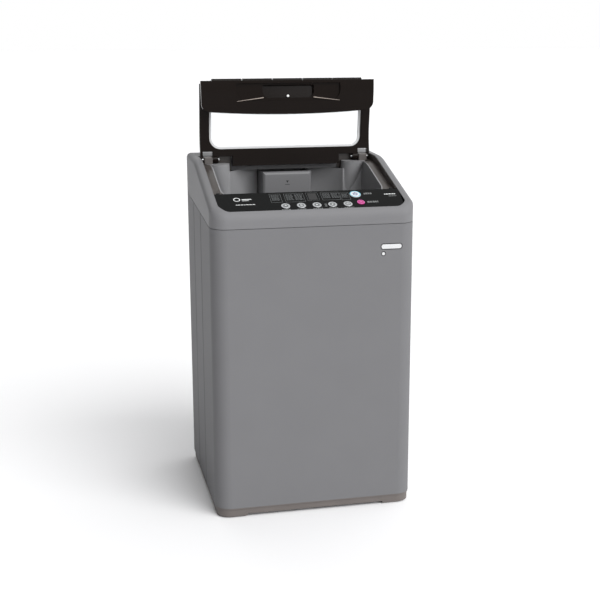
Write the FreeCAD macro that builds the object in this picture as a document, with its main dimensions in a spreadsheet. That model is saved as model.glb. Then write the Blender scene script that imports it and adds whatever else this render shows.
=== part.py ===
import FreeCAD, Part
import math
import os
import re

import Sketcher
from FreeCAD import Placement, Rotation, Vector

# Top load washing machine, millimetres. +X is the machine's right seen from the front, +Y its back, +Z up.
# The origin is on the floor under the middle of the machine.

DOC = FreeCAD.newDocument("washing_machine")
SHEET = DOC.addObject("Spreadsheet::Sheet", "Sizes")
SUBPARTS = {}

DRIVING_SIZES = {
    # cabinet
    "width": 550,
    "front": -251,
    "back": 239,
    "rear_limit": 251,
    "corner_radius": 41,
    "rear_radius": 10,
    "steel": 0.8,
    "base_top": 27,
    "seam_front": 792,
    "seam_back": 831,
    "seam_gap": 1.6,
    # top cover
    "cover_wall": 3,
    "rim_slope": 0.32,
    "rim_nose": 838.5,
    "rim_bend": 63,
    "deck_top": 946,
    "nose_radius": 40,
    "side_radius": 13,
    "mouth_half": 251.6,
    "mouth_front": -240.4,
    "deck_front": 150,
    "shelf_low": 900,
    # control panel
    "panel_tilt": 23.9,
    "panel_front": -240,
    "panel_height": 832,
    "panel_depth": 96.2,
    "panel_half": 251.2,
    "panel_thick": 4,
    "button_radius": 12,
    "button_rise": 1.6,
    # lid
    "hinge_back": 126,
    "hinge_height": 934,
    "fold_back": -87,
    "fold_height": 871,
    "lid_half": 249,
    "lid_thick": 16,
    "lid_angle": 100,
    "knuckle": 6,
    "fold_pin": 2,
    "hinge_pin": 4,
    # drum group
    "drum_back": -6,
    "tub_radius": 226,
    "tub_low": 205,
    "tub_top": 768,
    "basket_radius": 212,
    "basket_low": 236,
    "basket_gauge": 0.8,
    "pulsator_radius": 165,
    "pulley_radius": 75,
    "motor_pulley_radius": 25,
    "motor_offset": 145,
    "rod_side": 212,
    "rod_reach": 196,
}


def fill_sheet():
    for row, (alias, value) in enumerate(DRIVING_SIZES.items(), start=1):
        SHEET.set(f"A{row}", alias)
        SHEET.set(f"B{row}", str(value))
        SHEET.setAlias(f"B{row}", alias)
    DOC.recompute()


def linked(expression):
    """The expression with every alias pointing into the sheet."""
    return re.sub(r"\b([a-z][a-z_]+)\b", r"Sizes.\1", str(expression))


def size(expression):
    return float(SHEET.evalExpression(linked(expression)))


def subpart(label, item):
    item.Label = label
    SUBPARTS[label] = item
    return item


# ---------------------------------------------------------------- building blocks


def box(low, high):
    """A block between two corners, each three expressions."""
    block = DOC.addObject("Part::Box", "Block")
    for edge, axis, start, end in zip(("Length", "Width", "Height"), "xyz", low, high):
        block.setExpression(edge, linked(f"({end}) - ({start})"))
        block.setExpression(f"Placement.Base.{axis}", linked(start))
    return block


def rod(centre, radius, length, along="z"):
    """A cylinder that starts at centre and runs along an axis."""
    turn = {"z": Rotation(), "x": Rotation(Vector(0, 1, 0), 90), "y": Rotation(Vector(1, 0, 0), -90)}[along]
    cylinder = DOC.addObject("Part::Cylinder", "Rod")
    cylinder.Placement = Placement(Vector(), turn)
    cylinder.setExpression("Radius", linked(radius))
    cylinder.setExpression("Height", linked(length))
    for axis, value in zip("xyz", centre):
        cylinder.setExpression(f"Placement.Base.{axis}", linked(value))
    return cylinder


def cut(base, *tools):
    result = DOC.addObject("Part::Cut", "Cut")
    result.Base = base
    result.Tool = tools[0] if len(tools) == 1 else fuse(*tools)
    return result


def fuse(*pieces):
    result = DOC.addObject("Part::MultiFuse", "Fusion")
    result.Shapes = list(pieces)
    return result


def common(first, second):
    result = DOC.addObject("Part::Common", "Common")
    result.Base = first
    result.Tool = second
    return result


def group(*pieces):
    """Separate solids that share one node."""
    result = DOC.addObject("Part::Compound", "Group")
    result.Links = list(pieces)
    return result


def rounded(base, radius, wanted):
    """Rounds the edges that wanted picks."""
    DOC.recompute()
    result = DOC.addObject("Part::Fillet", "Rounded")
    result.Base = base
    result.Edges = [(n, radius, radius) for n, edge in enumerate(base.Shape.Edges, start=1) if wanted(edge)]
    return result


def corner_points(points, index):
    """Where a rounded corner starts and ends, and its middle: None when the corner is sharp."""
    radius = points[index][2]
    here = Vector(*points[index][:2], 0)
    before = (Vector(*points[index - 1][:2], 0) - here).normalize()
    after = (Vector(*points[(index + 1) % len(points)][:2], 0) - here).normalize()
    if not radius:
        return here, None, here
    half = before.getAngle(after) / 2
    reach = radius / math.tan(half)
    inward = (before + after).normalize()
    middle = here + inward * (radius / math.sin(half) - radius)
    return here + before * reach, middle, here + after * reach


def outline_edges(points):
    """Closed outline from corners (across, up) or (across, up, radius), each an expression."""
    corners = [(size(p[0]), size(p[1]), size(p[2]) if len(p) > 2 else 0.0) for p in points]
    turns = [corner_points(corners, index) for index in range(len(corners))]
    edges = []
    for index, (start, middle, end) in enumerate(turns):
        if middle is not None:
            edges.append(Part.Arc(start, middle, end))
        after = turns[(index + 1) % len(turns)][0]
        if (after - end).Length > 1e-6:
            edges.append(Part.LineSegment(end, after))
    return edges


def sketch_on(body, role, points):
    """A sketch on one of the body's origin planes; an all-straight outline is held by its sizes."""
    sketch = body.newObject("Sketcher::SketchObject", "Outline")
    plane = next(item for item in body.Origin.OriginFeatures if item.Role == role)
    sketch.AttachmentSupport = [(plane, "")]
    sketch.MapMode = "FlatFace"
    for edge in outline_edges(points):
        sketch.addGeometry(edge, False)
    if all(len(point) == 2 for point in points):
        for index, point in enumerate(points):
            previous = (index - 1) % len(points)
            sketch.addConstraint(Sketcher.Constraint("Coincident", previous, 2, index, 1))
            for kind, expression in zip(("DistanceX", "DistanceY"), point):
                value = size(expression)
                number = sketch.addConstraint(Sketcher.Constraint(kind, -1, 1, index, 1, value))
                sketch.setExpression(f"Constraints[{number}]", linked(expression))
    return sketch


def padded(role, points, start, length):
    """A body padded from an outline; start is the distance of its first face from the origin plane."""
    body = DOC.addObject("PartDesign::Body", "Padded")
    pad = body.newObject("PartDesign::Pad", "Pad")
    pad.Profile = sketch_on(body, role, points)
    pad.setExpression("Length", linked(length))
    axis = {"XY_Plane": "z", "YZ_Plane": "x"}[role]
    body.setExpression(f"Placement.Base.{axis}", linked(start))
    return body


def turned(points, back="drum_back", across="0"):
    """A body of revolution about a vertical axis; points are (radius, height)."""
    body = DOC.addObject("PartDesign::Body", "Turned")
    sketch = sketch_on(body, "XZ_Plane", points)
    turn = body.newObject("PartDesign::Revolution", "Revolution")
    turn.Profile = sketch
    turn.ReferenceAxis = (sketch, ["V_Axis"])
    turn.Angle = 360
    body.setExpression("Placement.Base.x", linked(across))
    body.setExpression("Placement.Base.y", linked(back))
    return body


def footprint(inset, low, high):
    """The cabinet's plan, drawn in by inset, between two heights."""
    side = f"width/2 - ({inset})"
    front_radius = f"corner_radius - ({inset})"
    rear_radius = f"rear_radius - ({inset}) * 0.6"
    plan = [
        (f"-({side})", f"front + ({inset})", front_radius),
        (side, f"front + ({inset})", front_radius),
        (side, f"back - ({inset})", rear_radius),
        (f"-({side})", f"back - ({inset})", rear_radius),
    ]
    return padded("XY_Plane", plan, low, f"({high}) - ({low})")


def rim_height(across_depth, drop=0):
    """Height of the cover's sloping rim at a depth in front of the bend, less drop."""
    return f"deck_top - 7 + rim_slope * (({across_depth}) - rim_bend) - ({drop})"


# ---------------------------------------------------------------- base and feet

FOOT_SIDE = 231
FOOT_FRONT = -210
FOOT_REAR = 198
FOOT_HALF = 36


def foot_places():
    return [(side, depth) for side in (-FOOT_SIDE, FOOT_SIDE) for depth in (FOOT_FRONT, FOOT_REAR)]


def block_about(side, depth, half, low, high):
    return box((side - half, depth - half, low), (side + half, depth + half, high))


def base_frame():
    places = foot_places()
    ring = cut(footprint(3, 8, "base_top"), footprint(7, 7, "base_top - 3"), footprint(38, 7, "base_top + 1"))
    lip = cut(footprint(0.6, "base_top - 3", "base_top"), footprint(38, 7, "base_top + 1"))
    corners = fuse(*[block_about(x, y, FOOT_HALF + 4, 3, "base_top") for x, y in places])
    blocks = common(footprint(3, 3, "base_top"), corners)
    hollows = common(footprint(8, 2, 20), fuse(*[block_about(x, y, FOOT_HALF - 1, 2, 20) for x, y in places]))
    bores = [rod((x, y, 2), "5.05", "30") for x, y in places]
    subpart("base_frame", cut(fuse(ring, lip, blocks), hollows, *bores))


def foot_pads():
    fixed = [place for place in foot_places() if place != (FOOT_SIDE, FOOT_FRONT)]
    pads = [common(footprint(8.3, 0, 20), block_about(x, y, FOOT_HALF - 1.3, 0, 20)) for x, y in fixed]
    subpart("foot_pads", group(*pads))


def is_upright(edge):
    limits = edge.BoundBox
    return limits.ZLength > 1 and limits.XLength < 1e-6 and limits.YLength < 1e-6


def levelling_foot():
    disc = rod((FOOT_SIDE, FOOT_FRONT, 0), "24", "8")
    stem = rod((FOOT_SIDE, FOOT_FRONT, 4), "5", "21")
    nut = rod((FOOT_SIDE, FOOT_FRONT, 7), "9", "6")
    subpart("levelling_foot", fuse(disc, stem, nut))


# ---------------------------------------------------------------- cabinet

RIB_PLACES = (-45, 95)
RIB_DEPTH = 1.5


def rib_notches(side, gauge):
    """Side wall corners running to the back with a shallow pressed rib at each place."""
    corners = []
    for place in RIB_PLACES:
        for along, depth in ((-7, 0), (-3, RIB_DEPTH), (3, RIB_DEPTH), (7, 0)):
            corners.append((f"{side} * (width/2 - {gauge} - {depth})", f"{place} + {along}"))
    return corners


def cabinet_shell():
    front_right = ("width/2", "front", "corner_radius")
    front_left = ("-width/2", "front", "corner_radius")
    outer_right = [front_right, *rib_notches(1, 0), ("width/2", "back - steel", "8")]
    outer_left = [("-width/2", "back - steel", "8"), *reversed(rib_notches(-1, 0)), front_left]
    inner_left = [
        ("-width/2 + steel", "front + steel", "corner_radius - steel"),
        *rib_notches(-1, "steel"),
        ("-width/2 + steel", "back - 2 * steel", "6.8"),
        ("-width/2 + 18", "back - 2 * steel"),
    ]
    inner_right = [
        ("width/2 - 18", "back - 2 * steel"),
        ("width/2 - steel", "back - 2 * steel", "6.8"),
        *reversed(rib_notches(1, "steel")),
        ("width/2 - steel", "front + steel", "corner_radius - steel"),
    ]
    flange_left = [("-width/2 + 18", "back - steel")]
    flange_right = [("width/2 - 18", "back - steel")]
    plan = outer_right + flange_right + inner_right + inner_left + flange_left + outer_left
    wrap = padded("XY_Plane", plan, "base_top", "seam_back - base_top + 5")
    above_seam = [
        ("front - 5", "seam_front - seam_gap"),
        ("back + 5", "seam_back - seam_gap"),
        ("back + 5", "900"),
        ("front - 5", "900"),
    ]
    trimmed = padded("YZ_Plane", above_seam, "-width", "2 * width")
    port_hole = box(("-width/2 - 1", 163.7, 69.7), ("-width/2 + 3", 192.3, 109.3))
    plug_hole = rod(("-width/2 - 1", 174, 561), "4.2", "4", "x")
    subpart("cabinet_shell", fuse(cut(wrap, trimmed, port_hole, plug_hole), *hanger_brackets()))


def small_side_pieces():
    plate = box(("-width/2", 164, 70), ("-width/2 + steel", 192, 109))
    flange = box(("-width/2 + steel", 160, 66), ("-width/2 + steel + 1.5", 196, 113))
    stem = rod(("-width/2", 174, 561), "4", "9", "x")
    head = rod(("-width/2 + steel + 0.2", 174, 561), "7", "2", "x")
    subpart("side_port_covers", group(fuse(plate, flange), fuse(stem, head)))


def back_panel():
    sheet = box((-262, "back - steel", "base_top"), (262, "back", "seam_back - 0.6"))
    service_hole = box((-140, "back - 3", 60), (140, "back + 1", 330))
    drain_hole = rod((-200, "back - 3", 95), "18.3", "6", "y")
    gland_hole = rod((215, "back - 3", 120), "8.3", "6", "y")
    subpart("back_panel", cut(sheet, service_hole, drain_hole, gland_hole))


def service_cover():
    blank = box((-152, "back", 50), (152, "back + 2", 340))
    plate = rounded(blank, 1.2, lambda edge: edge.BoundBox.YMin > 240)
    slots = [box((-60, "back - 1", 120 + 14 * row), (60, "back + 3", 124 + 14 * row)) for row in range(6)]
    subpart("service_cover", cut(plate, *slots))


def cabinet_screws():
    cover_places = [(side, height) for side in (-145, 0, 145) for height in (55, 335)]
    panel_places = [(side, height) for side in (-254, 254) for height in (80, 300, 520, 740)]
    heads = [rod((x, "back + 2", z), "4", "2", "y") for x, z in cover_places]
    heads += [rod((x, "back", z), "4", "2", "y") for x, z in panel_places]
    subpart("cabinet_screws", group(*heads))


def power_cord_gland():
    body = rod((215, "back - 5", 120), "8", "12", "y")
    collar = rod((215, "back", 120), "12", "3", "y")
    bore = rod((215, "back - 6", 120), "3.5", "20", "y")
    subpart("power_cord_gland", cut(fuse(body, collar), bore))


def drain_outlet():
    tube = rod((-200, "back - 25", 95), "16", "rear_limit - back + 25", "y")
    flange = rod((-200, "back", 95), "22", "3", "y")
    bore = rod((-200, "back - 26", 95), "13", "60", "y")
    subpart("drain_outlet", cut(fuse(tube, flange), bore))


# ---------------------------------------------------------------- top cover


def cover_block(inset, floor):
    """The cover's outer form drawn in by inset, open below at floor, with its top outline rounded."""
    side = f"width/2 - ({inset})"
    profile = [
        (f"front + ({inset})", floor),
        (f"front + ({inset})", f"rim_nose - ({inset})"),
        ("rim_bend", f"deck_top - 7 - ({inset})", 200),
        (f"back - ({inset})", f"deck_top - ({inset})"),
        (f"back - ({inset})", floor),
    ]
    solid = padded("YZ_Plane", profile, f"-({side})", f"2 * ({side})")
    return softened(common(solid, footprint(inset, 700, 1000)), inset)


def softened(block, inset):
    """Rounds the top outline: a deep nose in front that thins round the corners to the side radius."""
    DOC.recompute()
    front = size("front") + inset

    def radius_at(edge, parameter):
        in_front = abs(edge.valueAt(parameter).y - front) < 1
        return size("nose_radius" if in_front else "side_radius") - inset

    result = DOC.addObject("Part::Fillet", "SoftRim")
    result.Base = block
    result.Edges = [
        (number, radius_at(edge, edge.FirstParameter), radius_at(edge, edge.LastParameter))
        for number, edge in enumerate(block.Shape.Edges, start=1)
        if is_top_outline(edge, inset)
    ]
    return result


def is_top_outline(edge, inset):
    limits = edge.BoundBox
    ends = (size("front") + inset, size("back") - inset)
    crosses = limits.XLength > 60
    return limits.ZMin > 810 and (not crosses or min(abs(limits.YMin - end) for end in ends) < 1e-3)


SKIRT_INSET = 2.9


def top_cover():
    seam = [("front - 5", "seam_front"), ("back + 5", "seam_back"), ("back + 5", 700), ("front - 5", 700)]
    below_seam = padded("YZ_Plane", seam, "-width", "2 * width")
    outside = cut(cover_block(0, 760), below_seam)
    hollow = cover_block(size("cover_wall"), 750)
    mouth_plan = [
        ("-mouth_half", "mouth_front", 29),
        ("mouth_half", "mouth_front", 29),
        ("mouth_half", "deck_front"),
        ("-mouth_half", "deck_front"),
    ]
    mouth = padded("XY_Plane", mouth_plan, 700, 300)
    shell = cut(outside, hollow, mouth)
    deck_wall = box(
        ("-mouth_half - 6", "deck_front", "shelf_low"), ("mouth_half + 6", "deck_front + 3", "deck_top - 5")
    )
    shelf = box(("-width/2 + 2", "deck_front", "shelf_low"), ("width/2 - 2", "back - 2", "shelf_low + 3"))
    skirt = cut(footprint(SKIRT_INSET, 778, 800), footprint(SKIRT_INSET + 2.5, 777, 801))
    inlet_hole = rod((185, "back - 5", 921), "13.6", "12", "y")
    rear_ring = cut(footprint(SKIRT_INSET, 798, 842), footprint(SKIRT_INSET + 2.5, 797, 843))
    rear_skirt = cut(rear_ring, box((-300, -300, 790), (300, -80, 900)))
    subpart("top_cover", cut(fuse(shell, deck_wall, shelf, skirt, rear_skirt), inlet_hole))


def inner_collar():
    wall = 3
    rect = [(-226, -146, 60), (226, -146, 60), (226, 112), (-226, 112)]
    cavity = [(-223, -143, 57), (223, -143, 57), (223, 109), (-223, 109)]
    half_round = common(rod((0, 3, 790), 200, 200), box((-210, 0, 780), (210, 210, 1000)))
    round_cavity = common(rod((0, 3, 793), 197, 200), box((-210, 0, 780), (210, 210, 1000)))
    outer = fuse(padded("XY_Plane", rect, 790, 200), half_round)
    inner = fuse(padded("XY_Plane", cavity, 793, 200), round_cavity)
    profile = [
        (-150, 789),
        (-150, rim_height(-150, 18)),
        ("rim_bend", "deck_top - 7 - 18", 184),
        (104, "deck_top - 6 - 18.5"),
        (104, "shelf_low"),
        (210, "shelf_low"),
        (210, 789),
    ]
    capped = common(outer, padded("YZ_Plane", profile, -230, 460))
    shell = cut(capped, inner, rod((0, "drum_back", 780), 189, 20))
    towers = [hinge_tower(side) for side in (-1, 1)]
    drawer_hole = box((-74, 150, 826.5), (74, 206, 900.5))
    subpart("inner_collar", cut(fuse(shell, *towers), drawer_hole))


def hinge_tower(side):
    """A tapered post at a back corner, hollowed from behind, with a flat top under the hinge."""
    top = Vector(side * 204, 125, 940)
    bottom = Vector(side * 168, 130.3, 775)
    lean = Rotation(Vector(0, 0, 1), top - bottom)

    def slanted(name, shift, shrink):
        cone = DOC.addObject("Part::Cone", name)
        cone.Radius1 = 9 - shrink
        cone.Radius2 = 38 - shrink
        cone.Height = (top - bottom).Length
        cone.Placement = Placement(bottom + shift, lean)
        return cone

    post = slanted("Tower", Vector(), 0)
    hollow = slanted("TowerHollow", Vector(side * 4, 5, -6), 3)
    slab = box((-245, 60, 790), (245, "deck_front - 8.3", 922))
    inside = box((-245, 60, 795), (245, "deck_front + 30", 917))
    return cut(common(post, slab), common(hollow, inside))


# ---------------------------------------------------------------- control panel

BUTTON_PITCH = 42
FIRST_BUTTON = -73
BUTTON_NAMES = ("water_level_button", "delay_button", "program_button", "rinse_button", "spin_button")
ROW_DEPTH = 26.3


def button_places():
    radius = size("button_radius")
    row = [(name, FIRST_BUTTON + BUTTON_PITCH * n, ROW_DEPTH, radius) for n, name in enumerate(BUTTON_NAMES)]
    return row + [("power_button", 126, 73.3, 15), ("start_button", 132, 32.8, 10.5)]


def tilt_on_panel(item):
    """Turns a piece drawn flat into the panel's slope."""
    item.Placement = Placement(
        Vector(0, size("panel_front"), size("panel_height")), Rotation(Vector(1, 0, 0), size("panel_tilt"))
    )
    return item


def control_panel_fascia():
    plan = [
        ("-panel_half", 0, 28),
        ("panel_half", 0, 28),
        ("panel_half", "panel_depth"),
        ("-panel_half", "panel_depth"),
    ]
    plate = padded("XY_Plane", plan, "-panel_thick", "panel_thick")
    soft_plate = rounded(plate, 1, lambda edge: edge.BoundBox.ZMin > -1e-3 and edge.BoundBox.YMin < 90)
    low = "-panel_thick - 1"
    holes = [rod((x, y, low), radius + 0.3, "panel_thick + 2") for _, x, y, radius in button_places()]
    window = box((-4, 53.6, "-2.2"), (20, 86.4, 1))
    subpart("control_panel_fascia", tilt_on_panel(cut(soft_plate, *holes, window)))


def display_lens():
    subpart("display_lens", tilt_on_panel(group(box((-3.8, 53.8, -2.2), (19.8, 86.2, 0)))))


def control_electronics():
    tray_outside = box((-150, 6, -26), (160, 85, -8))
    tray_inside = box((-148, 8, -24), (158, 83, -7))
    subpart("control_tray", tilt_on_panel(cut(tray_outside, tray_inside)))
    board = box((-140, 12, -16), (150, 81, -14.4))
    switches = [box((x - 3, y - 3, -14.4), (x + 3, y + 3, -9.6)) for _, x, y, _ in button_places()]
    driver = box((-130, 50, -14.4), (-80, 76, -8))
    subpart("control_board", tilt_on_panel(fuse(board, driver, *switches)))


def panel_buttons():
    for name, x, y, radius in button_places():
        cap = rounded(rod((x, y, -6), radius, "6 + button_rise"), 0.8, lambda edge: edge.BoundBox.ZMin > 0.5)
        flange = rod((x, y, -6), radius + 2, "1.8")
        plunger = rod((x, y, -8.2), 2.5, 4)
        subpart(name, tilt_on_panel(fuse(cap, flange, plunger)))


# ---------------------------------------------------------------- lid seat and hinges


def lid_seat_trim():
    outer_side = 251.4
    inner_side = 249.8
    solid = [
        ("-150.2", rim_height(-150.2, 20.5)),
        ("rim_bend", "deck_top - 7 - 20.5", 180),
        ("deck_front", "deck_top - 4 - 20.5"),
        ("deck_front", "deck_top - 5"),
        ("rim_bend", "deck_top - 9", 200),
        ("-150.2", rim_height(-150.2, 2)),
    ]
    space = [
        ("-148.4", rim_height(-148.4, 18)),
        ("rim_bend", "deck_top - 7 - 18", 182),
        ("deck_front + 1", "deck_top - 4 - 18"),
        ("deck_front + 1", "deck_top + 20"),
        ("-148.4", "deck_top + 20"),
    ]
    block = padded("YZ_Plane", solid, -outer_side, 2 * outer_side)
    above_seat = padded("YZ_Plane", space, -inner_side, 2 * inner_side)
    mouth = [(-226.2, -146.2, 60), (226.2, -146.2, 60), (226.2, 160), (-226.2, 160)]
    through = padded("XY_Plane", mouth, 700, 400)
    hinge_bay = box((-240, 95, 800), (240, 160, 1000))
    rails = cut(block, above_seat, through, hinge_bay)
    bay_walls = [
        box((near, "deck_front - 8", "shelf_low + 0.3"), (far, "deck_front - 0.3", "deck_top - 5"))
        for near, far in ((-250.6, -158), (158, 250.6))
    ]
    subpart("lid_seat_trim", fuse(rails, *bay_walls))


def lid_hinges():
    brackets = []
    for side in (-1, 1):
        near, far = sorted((side * 215, side * 239.5))
        block = rounded(box((near, 112, 922), (far, 140, 942)), 3, is_upright_or_high)
        brackets.append(cut(block, rod((near - 1, "hinge_back", "hinge_height"), "hinge_pin", 40, "x")))
    subpart("lid_hinge_brackets", group(*brackets))
    pins = [rod((start, "hinge_back", "hinge_height"), "hinge_pin", 50, "x") for start in (-244, 194)]
    subpart("lid_hinge_pins", group(*pins))


def is_upright_or_high(edge):
    return is_upright(edge) or edge.BoundBox.ZMin > 941


def lid_bumpers():
    """Two rubber posts on the seat that the closed front leaf comes down on."""
    posts = [rod((side, -132, rim_height(-132, 18.6)), 5, 13) for side in (-238, 238)]
    subpart("lid_bumpers", group(*posts))


# ---------------------------------------------------------------- lid, drawn closed, then opened


def opened(item):
    """Carries a closed rear leaf piece to the open rest place."""
    hinge = Vector(0, size("hinge_back"), size("hinge_height"))
    item.Placement = Placement(Vector(), Rotation(Vector(1, 0, 0), -size("lid_angle")), hinge)
    return item


def folded(item):
    """Folds a front leaf piece under the rear leaf, then opens it with the lid."""
    fold = Vector(0, size("fold_back"), size("fold_height"))
    hinge = Vector(0, size("hinge_back"), size("hinge_height"))
    under = Placement(Vector(), Rotation(Vector(1, 0, 0), 180), fold)
    open_lid = Placement(Vector(), Rotation(Vector(1, 0, 0), -size("lid_angle")), hinge)
    item.Placement = open_lid * under
    return item


def leaf_slice(top_drop, bottom_drop, front, rear, half):
    """A curved slice of the rear leaf between two depths below its outer face."""
    section = [
        (front, rim_height(front, bottom_drop)),
        (front, rim_height(front, top_drop)),
        ("rim_bend", f"deck_top - 7 - ({top_drop})", 200),
        (rear, f"deck_top - 7 - ({top_drop}) + 0.04 * (({rear}) - rim_bend)"),
        (rear, f"deck_top - 7 - ({bottom_drop}) + 0.04 * (({rear}) - rim_bend)"),
        ("rim_bend", f"deck_top - 7 - ({bottom_drop})", 184),
    ]
    return padded("YZ_Plane", section, f"-({half})", f"2 * ({half})")


def window_plan(grow, low=850, high=1000):
    side = 222 + grow
    corner = 32 + grow
    front, back = -50 - grow, 98 + grow
    plan = [(-side, front, 12), (side, front, 12), (side, back, corner), (-side, back, corner)]
    return padded("XY_Plane", plan, low, high - low)


KNUCKLE_COUNT = 5
KNUCKLE_LENGTH = 84.5
KNUCKLE_PITCH = 87


def knuckles(first, toward):
    """Every second knuckle of the fold, with the web that ties it to its leaf."""
    pieces = []
    for number in range(first, KNUCKLE_COUNT, 2):
        start = (number - (KNUCKLE_COUNT - 1) / 2) * KNUCKLE_PITCH - KNUCKLE_LENGTH / 2
        end = start + KNUCKLE_LENGTH
        pieces.append(rod((start, "fold_back", "fold_height"), "knuckle", KNUCKLE_LENGTH, "x"))
        near, far = sorted((0, 8.6 * toward))
        low = (start, f"fold_back + {near}", "fold_height - 3")
        pieces.append(box(low, (end, f"fold_back + {far}", "fold_height + 9")))
    return pieces


def lid_rear_frame():
    slab = rounded(leaf_slice(0, "lid_thick", -81, 146, "lid_half"), 3, is_long_top_edge)
    corners = [box((near, 118, 850), (far, 160, 1000)) for near, far in ((-252, -156), (156, 252))]
    pockets = [box((near, 104, 850), (far, 160, 1000)) for near, far in ((-242, -213), (213, 242))]
    ears = []
    for near, far in ((-214, -198), (198, 214)):
        ears.append(rod((near, "hinge_back", "hinge_height"), 11, far - near, "x"))
        ears.append(box((near, 99, 926), (far, "hinge_back", 938)))
    body = fuse(cut(slab, window_plan(0), *corners, *pockets), *ears, *knuckles(0, 1))
    hinge_bore = rod((-260, "hinge_back", "hinge_height"), "hinge_pin + 0.05", 520, "x")
    fold_bore = rod((-260, "fold_back", "fold_height"), "fold_pin", 520, "x")
    sides = fuse(box((-260, 100, 900), (-190, 150, 960)), box((190, 100, 900), (260, 150, 960)))
    side_bores = common(hinge_bore, sides)
    subpart("lid_rear_frame", opened(cut(body, side_bores, fold_bore)))


def is_long_top_edge(edge):
    limits = edge.BoundBox
    return limits.XLength < 1e-3 and limits.YLength > 5 and abs(abs(limits.XMin) - size("lid_half")) < 1e-3


def lid_window_parts():
    band = leaf_slice(4, 12, -60, 110, 230)
    rim = cut(common(band, window_plan(0)), window_plan(-6))
    subpart("lid_window_rim", opened(rim))
    pane = common(leaf_slice(6, 9, -60, 110, 230), window_plan(-6))
    subpart("lid_window", opened(pane))


def lid_fold_pin():
    subpart("lid_fold_pin", opened(group(rod((-219, "fold_back", "fold_height"), "fold_pin", 438, "x"))))


def front_leaf_plan():
    """Plan of the front leaf: straight at the fold, bowed forward at the free edge."""
    edge = Part.Wire([
        Part.LineSegment(Vector(-249, -89, 0), Vector(249, -89, 0)).toShape(),
        Part.LineSegment(Vector(249, -89, 0), Vector(248, -153, 0)).toShape(),
        Part.Arc(Vector(248, -153, 0), Vector(241, -167, 0), Vector(226, -173.5, 0)).toShape(),
        Part.Arc(Vector(226, -173.5, 0), Vector(0, -182, 0), Vector(-226, -173.5, 0)).toShape(),
        Part.Arc(Vector(-226, -173.5, 0), Vector(-241, -167, 0), Vector(-248, -153, 0)).toShape(),
        Part.LineSegment(Vector(-248, -153, 0), Vector(-249, -89, 0)).toShape(),
    ])
    plan = DOC.addObject("Part::Feature", "FrontLeafPlan")
    plan.Shape = Part.Face(edge).extrude(Vector(0, 0, 60))
    plan.Placement = Placement(Vector(0, 0, 850), Rotation())
    return plan


def lid_front_leaf():
    section = [(-89, 877), (-89, 890.4), (-120, 887.5, 200), (-188, 871.8), (-188, 864.3), (-147, 873)]
    slab = common(padded("YZ_Plane", section, -260, 520), front_leaf_plan())
    bowl = padded("YZ_Plane", [(-98, 867), (-98, 880), (-146, 878), (-139, 867)], -80, 160)
    shallow = padded("XY_Plane", [(-150, -146, 30), (150, -146, 30), (150, -97, 4), (-150, -97, 4)], 870, 40)
    shallow_floor = padded("YZ_Plane", [(-160, 877.5), (-80, 884.5), (-80, 920), (-160, 920)], -160, 320)
    pocket = padded("XY_Plane", [(-74, -137, 18), (74, -137, 18), (74, -101, 4), (-74, -101, 4)], 869.5, 40)
    pin_bore = rod((-260, "fold_back", "fold_height"), "fold_pin + 0.05", 520, "x")
    body = fuse(slab, bowl, *knuckles(1, -1))
    subpart("lid_front_leaf", folded(cut(body, common(shallow, shallow_floor), pocket, pin_bore)))


def lid_latch_cap():
    subpart("lid_latch_cap", folded(group(rod((0, -131, 869.5), 3.5, 5))))


# ---------------------------------------------------------------- detergent drawer and water inlet


DRAWER_FRONT = 106
DRAWER_FOOT = 812


def is_front_rim(edge):
    return edge.BoundBox.YMax < DRAWER_FRONT + 0.01 and edge.BoundBox.ZMax > DRAWER_FOOT + 0.01


def detergent_drawer():
    tray_outside = box((-72, DRAWER_FRONT + 10, 828), (72, 228, 894))
    tray_inside = box((-69.5, DRAWER_FRONT + 13, 831), (69.5, 225.5, 900))
    tray = cut(tray_outside, tray_inside)
    bezel = rounded(box((-72, DRAWER_FRONT, DRAWER_FOOT), (72, DRAWER_FRONT + 12, 896)), 9, is_front_rim)
    divider = box((-1, DRAWER_FRONT + 12, 830), (1, 226, 885))
    subpart("detergent_drawer", fuse(tray, bezel, divider))


def drawer_housing():
    outside = box((-77, 203.5, 824.5), (77, 233.3, 899.8))
    inside = box((-73.5, 203, 827.3), (73.5, 231, 897.3))
    subpart("drawer_housing", cut(outside, inside))


def water_inlet():
    body = box((165, 196, 905), (205, 230, 937))
    neck = rod((185, 228, 921), 12.6, 14, "y")
    nozzle = rod((185, "back + 1", 921), 13.2, "rear_limit - back - 1", "y")
    bore = rod((185, 232, 921), 9, 30, "y")
    coil = box((170, 178, 908), (200, 197, 934))
    subpart("water_inlet_valve", cut(fuse(body, neck, nozzle, coil), bore))
    duct = cut(box((-64, 200, 904), (165, 226, 924)), box((-62, 202, 906), (166, 224, 922)))
    subpart("inlet_duct", duct)


def water_level_sensor():
    case = rod((-190, 195, 903), 26, 18)
    port = rod((-190, 195, 920), 5, 12)
    subpart("water_level_sensor", fuse(case, port))


# ---------------------------------------------------------------- suspension

ROD_LOW = 198
ROD_TOP = 764
SPRING_LOW = 204
LUG_LOW = 240


def rod_places():
    across, along, middle = size("rod_side"), size("rod_reach"), size("drum_back")
    return [(side * across, middle + reach * along) for side in (-1, 1) for reach in (-1, 1)]


def hanger_brackets():
    """Corner plates welded into the cabinet, one above each rod."""
    plan = footprint("steel / 2", 744, 756)
    blocks = []
    for x, y in rod_places():
        outward = 70 if x > 0 else -70
        inner = x - (14 if x > 0 else -14)
        near_y, far_y = (-260, y + 14) if y < 0 else (y - 14, 235.5)
        plate = box((min(inner, x + outward), near_y, 744), (max(inner, x + outward), far_y, 756))
        blocks.append(cut(plate, rod((x, y, 740), 5, 20)))
    return [common(plan, block) for block in blocks]


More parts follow.
